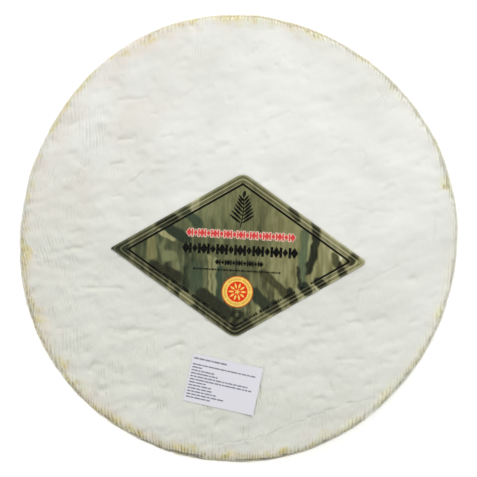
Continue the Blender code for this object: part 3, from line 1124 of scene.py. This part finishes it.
def lay(name, sheets, place, lift, thickness, material):
    """Lays flat sheets of a label's plan on the wheel as one piece, and gives them thickness downwards."""
    middle, turn, levels = place
    points, faces = [], []
    for sheet_points, shapes in sheets:
        faces += [[number + len(points) for number in shape] for shape in shapes]
        points += sheet_points
    plan = np.array([tuple(point) for point in points])
    x, y = from_plan(plan[:, 0], plan[:, 1], middle, turn)
    spots = np.stack([x, y, levels(plan, x, y) + lift], axis=1) - np.array(form_middle)
    mesh = bpy.data.meshes.new(name)
    mesh.from_pydata(spots.tolist(), [], faces)
    for polygon in mesh.polygons:
        if polygon.normal.z < 0:
            polygon.flip()
    mesh.update()
    mesh.shade_smooth()
    mesh.materials.append(material)
    note(mesh, "plan_u", plan[:, 0])
    note(mesh, "plan_v", plan[:, 1])
    made = placed(name, mesh)
    thicken(made, thickness)
    keep_result(made)
    made.data.set_sharp_from_angle(angle=math.radians(60))
    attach(made, "root")
    print(name, "has", len(faces), "faces")
    return made


def printed(name, sheets, material, lift=1, place=FOIL_PLACE):
    """One ink's piece of a label's print. A higher lift lies over a lower one."""
    return lay(name, sheets, place, lift * PRINT_LIFT, PRINT_THICKNESS, material)


def note_shine(piece):
    """Writes the painted shine and green of the foil at each point of a piece."""
    plan = np.zeros((2, len(piece.data.vertices)))
    for row, name in zip(plan, ("plan_u", "plan_v")):
        piece.data.attributes[name].data.foreach_get("value", row)
    for name, values in zip(("shine", "green"), foil_shine(plan.T)):
        note(piece.data, name, values)


# %% The foil and its streaks
FOIL_LATTICE = 0.00100
# The colours of the foil's painted reflections, from deep shade to a white glint.
FOIL_STOPS = (
    (0.08, (17, 19, 11)),
    (0.25, (48, 49, 31)),
    (0.42, (88, 87, 55)),
    (0.60, (125, 123, 80)),
    (0.80, (156, 153, 108)),
    (0.92, (190, 187, 147)),
    (1.0, (234, 232, 208)),
)


def foil_material():
    """Olive foil paper, with the reflections of its folds and fine streaks painted into its colour."""
    nodes = Finish("olive foil paper")
    streaked = nodes.stretched(nodes.place(), (1 / 0.0016, 1 / 0.011, 1.0))
    tone = nodes.noted("shine") + (nodes.noise(streaked, 1.0, 3.0, 2.0) - 0.5) * 0.30
    olive = nodes.add("ShaderNodeValToRGB", {0: tone})
    ramp = olive.socket.node.color_ramp
    while len(ramp.elements) < len(FOIL_STOPS):
        ramp.elements.new(1.0)
    for element, (place, shade) in zip(ramp.elements, FOIL_STOPS):
        element.position = place
        element.color = colour(*shade)
    dull = nodes.mix(tone, colour(20, 34, 22), colour(116, 146, 112))
    tinted = nodes.mix(nodes.noted("green") * 0.65, olive, dull)
    bump = nodes.bump(nodes.noise(streaked, 1.6, 9.0, 2.0), 0.35, 0.0005)
    touch = {"Metallic": 0.35, "Roughness": 0.38, "Specular IOR Level": 0.2, "Normal": bump}
    return nodes.principled({"Base Color": tinted, **touch})


foil_corners = [FOIL_RIGHT_CORNER, FOIL_BLUNT_CORNERS, FOIL_LEFT_CORNER, FOIL_BLUNT_CORNERS]
foil_sheet = filled(diamond(FOIL_LONG, FOIL_SHORT, foil_corners), FOIL_LATTICE)
foil_thickness = LABEL_THICKNESS - 0.00005
foil = lay("foil_label", [foil_sheet], FOIL_PLACE, 0.0, foil_thickness, foil_material())
note_shine(foil)
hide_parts("diamond_label")

# %% [markdown]
# ## The print
#
# Print on a label is a skin of ink. Here each colour of ink is one thin piece that lies on the foil, a few
# hundredths of a millimetre high, as raised ink is. That keeps every line sharp from any distance. The
# frame lines are bands along smaller diamonds. Rows of lozenges and bars stand where a label has its words,
# with a leaf sprig above and a rosette in an amber ring below.

# %% Inks
def ink(name, *shade):
    """A printing ink, slightly uneven in its cover."""
    nodes = Finish(name)
    cover = nodes.noise(nodes.place(), 0.002, 3.0, 2.0)
    lighter = tuple(min(1.0, 1.2 * part + 0.003) for part in colour(*shade)[:3]) + (1.0,)
    tone = nodes.mix(nodes.ease(cover, 0.4, 0.7) * 0.6, colour(*shade), lighter)
    return nodes.principled({"Base Color": tone, "Roughness": 0.5, "Specular IOR Level": 0.05})


def sheer_ink(name, dull, bright):
    """A thin ink that follows the foil's painted reflections: dull where the foil is painted dull, and bright
    where it is painted shining.
    """
    nodes = Finish(name)
    tone = nodes.mix(nodes.ease(nodes.noted("shine"), 0.05, 0.95), colour(*dull), colour(*bright))
    return nodes.principled({"Base Color": tone, "Roughness": 0.45, "Specular IOR Level": 0.1})


black_ink = ink("black ink", 7, 8, 4)
dark_ink = sheer_ink("dark olive ink", (14, 15, 9), (84, 82, 54))
khaki_ink = sheer_ink("khaki ink", (95, 93, 64), (178, 174, 134))
pale_ink = ink("pale ink", 222, 196, 176)
red_ink = ink("red ink", 208, 66, 66)
amber_ink = ink("amber ink", 236, 200, 98)
brown_ink = ink("brown ink", 196, 122, 40)
scarlet_ink = ink("scarlet ink", 218, 54, 22)
rust_ink = ink("rust ink", 186, 84, 34)
grey_ink = ink("grey ink", 134, 134, 143)

# %% The frame lines
SIDE_DEPTH = FOIL_LONG * FOIL_SHORT / 4 / math.hypot(FOIL_LONG / 2, FOIL_SHORT / 2)
BLACK_INSET, BLACK_WIDTH = 0.0078, 0.0017
# Each thin line has its distance from the label's edge and its width.
KHAKI_LINES = ((0.0066, 0.0005), (0.0037, 0.0009), (0.0009, 0.0008))
DARK_LINES = ((0.0018, 0.0005), (0.0028, 0.0004), (0.0048, 0.0006), (0.0059, 0.0005))


def inner_diamond(inset, cut=0.0):
    """The label's diamond, moved in from each side by the inset."""
    share = 1 - inset / SIDE_DEPTH
    return diamond(FOIL_LONG * share, FOIL_SHORT * share, [cut] * 4)


right, top, left, bottom = inner_diamond(BLACK_INSET)
long_line = [bottom.lerp(right, 0.66), right, top, left, left.lerp(bottom, 0.31)]
short_line = [left.lerp(bottom, 0.95), bottom, bottom.lerp(right, 0.07)]
black_lines = [band(line, BLACK_WIDTH, False) for line in (long_line, short_line)]
printed("label_black_frame", black_lines, black_ink)
for name, lines, thin_ink in (("khaki", KHAKI_LINES, khaki_ink), ("dark", DARK_LINES, dark_ink)):
    bands = [band(inner_diamond(inset, 0.004), width) for inset, width in lines]
    note_shine(printed(f"label_{name}_frames", bands, thin_ink))

# %% Small marks along the two lower sides
MARK_INSET, MARK_STEP = 0.0084, 0.0021
MARK_CHANCE = 0.86
marks = []
chance = random.Random(11)
corners = inner_diamond(MARK_INSET)
for start, end, first, last in ((corners[2], corners[3], 0.33, 0.94), (corners[3], corners[0], 0.09, 0.64)):
    way = (end - start).normalized()
    for i in range(int((last - first) * (end - start).length / MARK_STEP)):
        if chance.random() < MARK_CHANCE:
            middle = start.lerp(end, first) + way * MARK_STEP * i
            reach = way * chance.uniform(0.0005, 0.0009)
            marks.append(band([middle - reach, middle + reach], chance.uniform(0.0020, 0.0028), False))
printed("label_side_marks", marks, black_ink)

# %% A row of ornaments, by geometry nodes
def ornament_row_tree():
    """Lozenges in a row, every second one small, with a thin bar between each two."""
    sizes = {"Count": 9, "Pitch": 0.01, "Height": 0.007, "Width": 0.005}
    sizes.update({"Small Share": 0.75, "Bar Width": 0.0008, "Grow": 0.0})
    nodes = Form("ornament row", sizes)
    pitch, grow, height = [nodes.given[label] for label in ("Pitch", "Grow", "Height")]

    def row_of(count, shape, scale):
        """The shape on each point of a line that is centred on the middle."""
        sockets = {"Count": count, "Start Location": nodes.joined(pitch * (count - 1) * -0.5)}
        line = nodes.add("GeometryNodeMeshLine", {**sockets, "Offset": nodes.joined(pitch)})
        return nodes.add("GeometryNodeInstanceOnPoints", {"Points": line, "Instance": shape, "Scale": scale})

    index = nodes.add("GeometryNodeInputIndex")
    share = 1.0 - nodes.math("MODULO", index, 2.0) * (1.0 - nodes.given["Small Share"])
    lozenge = nodes.add("GeometryNodeMeshCircle", {"Vertices": 4, "Radius": 0.5}, {"fill_type": "NGON"})
    size = nodes.joined(nodes.given["Width"] * share + grow * 2.0, height * share + grow * 2.0, 1.0)
    lozenges = row_of(nodes.given["Count"], lozenge, size)
    sockets = {"Size X": nodes.given["Bar Width"] + grow * 2.0, "Size Y": height * 0.9 + grow * 2.0}
    bar = nodes.add("GeometryNodeMeshGrid", {**sockets, "Vertices X": 2, "Vertices Y": 2})
    bars = row_of(nodes.given["Count"] - 1, bar, (1.0, 1.0, 1.0))
    both = nodes.add("GeometryNodeJoinGeometry", {"Geometry": lozenges})
    nodes.tree.links.new(bars.socket, both.socket.node.inputs["Geometry"])
    return nodes.end(both)


row_tree = ornament_row_tree()
LONG_EDGE = 0.0025


def ornament_row(centre, count, pitch, height, width, bar_width, grow=0.0):
    """The flat points and faces of one row, round its centre on the label's plan."""
    sizes = {"Count": count, "Pitch": pitch, "Height": height, "Width": width}
    seed = placed("row", bpy.data.meshes.new("row"))
    apply_tree(seed, row_tree, {**sizes, "Bar Width": bar_width, "Grow": grow})
    bm = bmesh.new()
    bm.from_mesh(seed.data)
    long_edges = [edge for edge in bm.edges if edge.calc_length() > LONG_EDGE]
    bmesh.ops.subdivide_edges(bm, edges=long_edges, cuts=2, use_grid_fill=True)
    bm.verts.index_update()
    points = [vert.co.to_2d() + Vector(centre) for vert in bm.verts]
    faces = [[vert.index for vert in face.verts] for face in bm.faces]
    bm.free()
    bpy.data.objects.remove(seed)
    return points, faces


# Each row has its centre, its count, and the pitch, height, width and bar width of its ornaments.
RED_ROW = ((0.0008, 0.0168), 17, 0.0053, 0.0066, 0.0045, 0.0013)
BLACK_ROWS = {
    "main": ((0.0008, 0.0041), 13, 0.0074, 0.0094, 0.0064, 0.0023),
    "short": ((0.0006, -0.0064), 9, 0.0045, 0.0050, 0.0040, 0.0013),
    "fine": ((-0.0010, -0.0126), 29, 0.0025, 0.0022, 0.0019, 0.0005),
}
printed("label_red_row_edge", [ornament_row(*RED_ROW, grow=0.0006)], pale_ink)
printed("label_red_row", [ornament_row(*RED_ROW)], red_ink, 2)
for name, row in BLACK_ROWS.items():
    printed(f"label_{name}_row", [ornament_row(*row)], black_ink)

# %% The leaf sprig, the rosette and the oval
SPRIG_MIDDLE = Vector((0.0, 0.0350))
MEDAL_MIDDLE = Vector((0.0004, -0.0298))
OVAL_MIDDLE = Vector((0.0012, -0.0484))
LEAF_STEP = 0.0015


def ellipse(middle, across, upwards, count):
    """Points round an ellipse."""
    turns = even_turns(count)
    return [middle + Vector((across * math.cos(turn), upwards * math.sin(turn))) for turn in turns]


def leaf(root, heading, length, width, count=7):
    """A sheet in the form of a pointed leaf, from its root out along its heading."""
    ahead = facing(heading)
    across = Vector((-ahead.y, ahead.x))
    shares = [i / count for i in range(count + 1)]
    swell = [width / 2 * math.sin(math.pi * share) ** 0.8 for share in shares]
    one_side = [root + ahead * length * s + across * w for s, w in zip(shares, swell)]
    other_side = [root + ahead * length * s - across * w for s, w in zip(shares, swell)]
    return filled(one_side + other_side[-2:0:-1], LEAF_STEP)


def sprig():
    """A curved stem with leaves in pairs and one at its tip."""
    shares = [i / 8 for i in range(9)]
    stem = [SPRIG_MIDDLE + Vector((0.0016 * math.sin(2.4 * s), 0.024 * (s - 0.5))) for s in shares]
    sheets = [band(stem, 0.0008, False)]
    for i, point in enumerate(stem[1:-1]):
        for side in (1, -1):
            heading = math.radians(90) - side * math.radians(54 - 3 * i)
            sheets.append(leaf(point, heading, 0.0130 - 0.0010 * i, 0.0019))
    return sheets + [leaf(stem[-1], math.radians(80), 0.0065, 0.0028)]


def rosette(petals, inner, outer, width):
    """Leaf-shaped petals round the medal's middle."""
    return [leaf(MEDAL_MIDDLE + inner * facing(t), t, outer - inner, width) for t in even_turns(petals)]


def ring_marks(count, inner, outer, width):
    """Short bars round the medal's ring, in groups of eight."""
    ways = [facing(turn) for i, turn in enumerate(even_turns(count)) if i % 9]
    return [band([MEDAL_MIDDLE + inner * way, MEDAL_MIDDLE + outer * way], width, False) for way in ways]


def disc(radius):
    """A round sheet at the medal's middle."""
    return filled(ellipse(MEDAL_MIDDLE, radius, radius, 48), 0.0016)


printed("label_sprig", sprig(), black_ink)
printed("label_medal_edge", [disc(0.0130)], rust_ink)
printed("label_medal_ring", [disc(0.0122)], amber_ink, 2)
printed("label_medal_marks", ring_marks(45, 0.0096, 0.0110, 0.0006), brown_ink, 3)
printed("label_medal_disc", [disc(0.0084)], scarlet_ink, 3)
petals = rosette(10, 0.0026, 0.0074, 0.0016) + rosette(5, 0.0, 0.0024, 0.0011)
printed("label_rosette", petals, amber_ink, 4)
ovals = [ellipse(OVAL_MIDDLE, reach, 0.64 * reach, 32) for reach in (0.005, 0.0033)]
printed("label_oval", [band(oval, 0.0006) for oval in ovals], black_ink)

# %% [markdown]
# ## The paper sticker
#
# A shop's sticker of white paper lies on the film, a little askew, and its right-hand edge has come loose.
# Its printed lines are too small to read from here. They are rows of short grey dashes, from a seeded
# random draw.

# %% The sticker
def paper_material():
    """Coated white paper with a faint blue cast."""
    nodes = Finish("white sticker paper")
    pulp = nodes.noise(nodes.place(), 0.0009, 4.0, 3.0)
    tone = nodes.mix(pulp, colour(219, 218, 225), colour(224, 223, 229))
    return nodes.principled({"Base Color": tone, "Roughness": 0.45, "Normal": nodes.bump(pulp, 0.1, 0.0001)})


half_width, half_height = STICKER_WIDTH / 2, STICKER_HEIGHT / 2
signs = ((1, 1), (-1, 1), (-1, -1), (1, -1))
sheet = filled([Vector((half_width * right, half_height * up)) for right, up in signs], 0.0018)
sticker = lay("shop_sticker", [sheet], STICKER_PLACE, 0.0, PAPER_THICKNESS, paper_material())
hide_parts("paper_sticker")

# %% Its printed lines
LINE_PITCH = 0.00245
LINE_SHARES = (0.49, 0.0, 0.96, 0.16, 0.36, 0.41, 0.86, 0.95, 0.25, 0.34, 0.37, 0.43, 0.56, 0.36)
LINE_MARGIN, FIRST_LINE = 0.0016, 0.0035
dashes = []
chance = random.Random(5)
for number, share in enumerate(LINE_SHARES):
    v = half_height - FIRST_LINE - LINE_PITCH * number
    at = -half_width + LINE_MARGIN
    end = at + share * (STICKER_WIDTH - 0.0030)
    while at < end - 0.001:
        dash = min(chance.uniform(0.0016, 0.0052), end - at)
        dashes.append(band([Vector((at, v)), Vector((at + dash, v))], 0.0011 if number else 0.0013, False))
        at += dash + chance.uniform(0.0003, 0.0007)
printed("sticker_lines", dashes, grey_ink, 1, STICKER_PLACE)

# %% [markdown]
# ## The film
#
# Clear film is drawn tightly over the face and the label, and gathered under the wheel. From above it
# hardly shows: a few creases catch the light, the edge of an overlap is a fine line, and it stands a little
# off the rim in places. Its form is the wheel's own with the rind's soft relief, a quarter of a millimetre
# proud, and a little more over the comb of ridges near the rim. Creases are ridges with points of their own
# in the mesh. The pleats of the wall follow a rule, so geometry nodes make them.

# %% Creases of the film
FILM_RINGS, FILM_LATTICE, FILM_BASE_LATTICE = (1100, 8, 7), 0.0026, 0.006
FILM_OVER_LABEL = 0.00125
LABEL_SLOPE = 0.0035
FILM_CREASES = (
    ((113, 108), (119, 113), (126, 121), 1.0, 0.40),
    ((116, 119), (119, 113), (121, 106), 1.0, 0.40),
    ((-119, 134), (-115, 137), (-112, 137), 1.0, 0.40),
    ((-127, 135), (-123, 132), 1.0, 0.40),
    ((160, 16), (160, 5), (159, -4), 1.0, 0.35),
    ((100, -144), (104, -140), (109, -135), 1.0, 0.40),
    ((42, -14), (50, -26), (53, -38), 1.0, 0.30),
    ((60, -31), (74, -42), (90, -56), 1.0, 0.30),
    ((-28, -171), (2, -167), (20, -163), (37, -155), (59, -147), (88, -136), (112, -132), 0.8, 0.20),
    ((14, -143), (51, -142), 1.0, 0.25),
)


def film_level(x, y):
    """The film's level: the face, and the slope up to the label."""
    tent = min(max(1 - outside_foil(x, y) / LABEL_SLOPE, 0.0), 1.0)
    return top_level(x, y) + tent * tent * (3 - 2 * tent) * FILM_OVER_LABEL


def film_points(ring):
    """The film's own lattice, with its creases."""
    return even_points(ring, FILM_LATTICE, FILM_CREASES)


film = closed_skin("clear_film", *FILM_RINGS, film_points, FILM_BASE_LATTICE, film_level)
note_lines(film, "crease", FILM_CREASES)

# %% The pleats of the film
FILM_CREASE_HEIGHT = 0.001
PLEAT_RADIUS, PLEAT_RISE = 0.18, 0.25


def film_pleats():
    """Moves the film off the cheese, and folds it into pleats round the wall."""
    sizes = {"Gap": 0.00025, "Comb Gap": 0.0006, "Slack": 0.0004}
    sizes.update({"Pleat Length": 0.011, "Pleat Height": 0.0006})
    nodes, where, normal, on_top, inset = skin_tree("film pleats", sizes)
    given = nodes.given
    x, y, z = nodes.parts(where)
    crease = nodes.noted("crease")
    soft, _ = soft_relief(nodes, where, on_top)
    off_the_label = nodes.ease(nodes.noted("foil_distance"), -0.001, 0.007)

    turn = nodes.math("ARCTAN2", y, x)
    ahead = [nodes.math(part, turn) * PLEAT_RADIUS for part in ("COSINE", "SINE")]
    round_the_wall = nodes.joined(*ahead, z * PLEAT_RISE)
    field = nodes.noise(round_the_wall, given["Pleat Length"], 3.0, 1.0) - 0.5
    pleat = nodes.ease(abs(field), 0.05, 0.0)
    chosen = nodes.ease(nodes.noise(round_the_wall, 0.035, 8.0, 1.0), 0.42, 0.6)
    pleated = pleat * chosen * nodes.ease(inset, 0.016, 0.001)
    loose = nodes.noise(round_the_wall, 0.05, 14.0, 1.0)
    slack = nodes.ease(loose, 0.52, 0.66) * nodes.ease(inset, 0.007, 0.0)
    over_the_comb = nodes.ease(inset, 0.0140, 0.0090) * nodes.ease(inset, 0.0010, 0.0035)
    rise = off_the_table(nodes, where) * (
        (soft + given["Gap"]) * off_the_label
        + over_the_comb * given["Comb Gap"]
        + pleated * given["Pleat Height"]
        + slack * given["Slack"]
        + crease * FILM_CREASE_HEIGHT
    )
    fold = nodes.math("MAXIMUM", pleated, crease * 3.0 * (off_the_label * 0.85 + 0.15))
    return nodes.end_moved(normal, rise, "fold", fold)


# %% The film's finish
FILM_SHINE, FILM_SHINE_EDGEWISE, FILM_FOLD_SHINE = 0.004, 0.3, 0.03
FILM_THICKNESS, FILM_UNDERSIDE = 0.00006, 0.00010


def film_material():
    """Clear film: it lets light through, and shines, more along its folds and where it turns away."""
    nodes = Finish("clear film")
    turned_away = nodes.add("ShaderNodeLayerWeight", {"Blend": 0.5}).at("Facing")
    shine = (turned_away**5.0) * FILM_SHINE_EDGEWISE + FILM_SHINE
    clear = nodes.add("ShaderNodeBsdfTransparent", {"Color": (1.0, 1.0, 1.0, 1.0)})
    gloss = nodes.add("ShaderNodeBsdfGlossy", {"Color": (0.97, 0.97, 0.98, 1.0), "Roughness": 0.16})
    factor = nodes.math("MINIMUM", shine + nodes.noted("fold") * FILM_FOLD_SHINE, 0.5)
    return nodes.end(nodes.add("ShaderNodeMixShader", {0: factor, 1: clear, 2: gloss}))


apply_tree(film, film_pleats(), {"Material": film_material()})
raise_underside(film.data, FILM_UNDERSIDE)
thicken(film, FILM_THICKNESS)
film_levels = places(film)[:, 2]
print("the film lies from", round(1000 * min(film_levels), 2), "to", round(1000 * max(film_levels), 2), "mm")

# %% The pieces take their places
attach(rind, "root")
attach(film, "root")
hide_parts("cheese_wheel")
